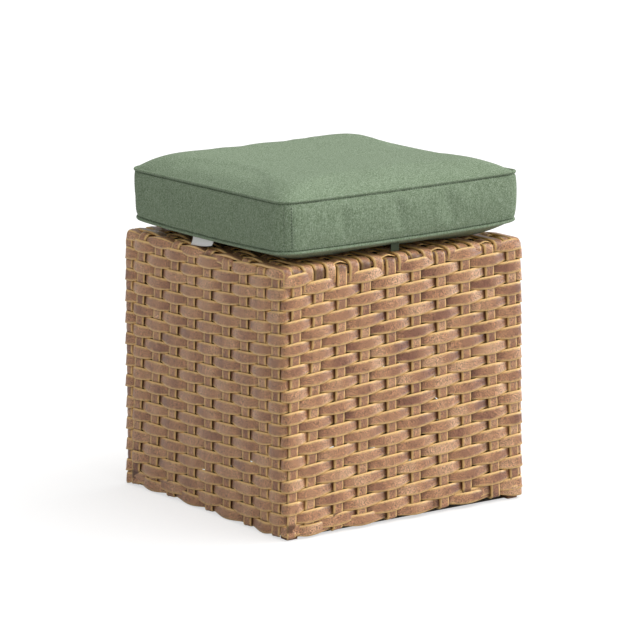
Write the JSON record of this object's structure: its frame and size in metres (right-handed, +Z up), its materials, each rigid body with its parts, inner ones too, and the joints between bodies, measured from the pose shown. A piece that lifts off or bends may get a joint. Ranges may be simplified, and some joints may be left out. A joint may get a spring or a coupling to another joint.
{
  "type": "outdoor ottoman footstool",
  "caption": "Square woven outdoor ottoman footstool on a tube frame, with a loose boxed cushion in a piped, zipped cover.",
  "frame": {"origin": "on the floor, under the middle of the square base", "axes": "+Z up, -Y the front, +X the right side as seen from the front"},
  "size_m": [0.42, 0.42, 0.5033],
  "materials": {
    "frame": "dark brown powder coat, satin",
    "glide": "moulded, matt",
    "strand": "brown resin strand with golden edges, semi-gloss",
    "foam": "open-cell foam in a fibre wrap, matt",
    "fabric": "sage green heathered weave, matt",
    "zip": "dark green coil and tape, matt",
    "slider": "plated metal, satin",
    "tag": "plain white woven label, bare"
  },
  "bodies": {
    "base": {"frame_post_front_left": "frame", "frame_post_front_right": "frame", "frame_post_rear_right": "frame", "frame_post_rear_left": "frame", "frame_top_rail_front": "frame", "frame_top_rail_right": "frame", "frame_top_rail_rear": "frame", "frame_top_rail_left": "frame", "frame_bottom_rail_front": "frame", "frame_bottom_rail_right": "frame", "frame_bottom_rail_rear": "frame", "frame_bottom_rail_left": "frame", "frame_deck_bar_1": "frame", "frame_deck_bar_2": "frame", "foot_glide_front_left": "glide", "foot_glide_front_right": "glide", "foot_glide_rear_right": "glide", "foot_glide_rear_left": "glide", "wicker_front": "strand", "wicker_right": "strand", "wicker_rear": "strand", "wicker_left": "strand", "wicker_deck": "strand"},
    "cushion": {"cushion_foam": "foam", "cushion_top_panel": "fabric", "cushion_bottom_panel": "fabric", "cushion_top_piping": "fabric", "cushion_bottom_piping": "fabric", "cushion_boxing_front": "fabric", "cushion_boxing_right": "fabric", "cushion_boxing_left": "fabric", "cushion_boxing_rear_lower": "fabric", "cushion_boxing_rear_upper": "fabric", "zip_tape": "zip", "zip_chain": "zip", "cushion_strap_front": "fabric", "cushion_strap_left": "fabric", "care_tag": "tag"},
    "slider": {"zip_slider": "slider"},
    "pull": {"zip_pull": "slider"}
  },
  "joints": [
    {"name": "cushion_lift", "type": "slide", "parent": "base", "child": "cushion", "axis": [0, 0, 1], "range_m": [0, 0.2]},
    {"name": "zip_slide", "type": "slide", "parent": "cushion", "child": "slider", "axis": [1, 0, 0], "range_m": [0, 0.335]},
    {"name": "zip_pull_swing", "type": "hinge", "parent": "slider", "child": "pull", "pos_m": [-0.1675, 0.20855, 0.4473], "axis": [0, 0, 1], "range_deg": [0, 180]}
  ]
}
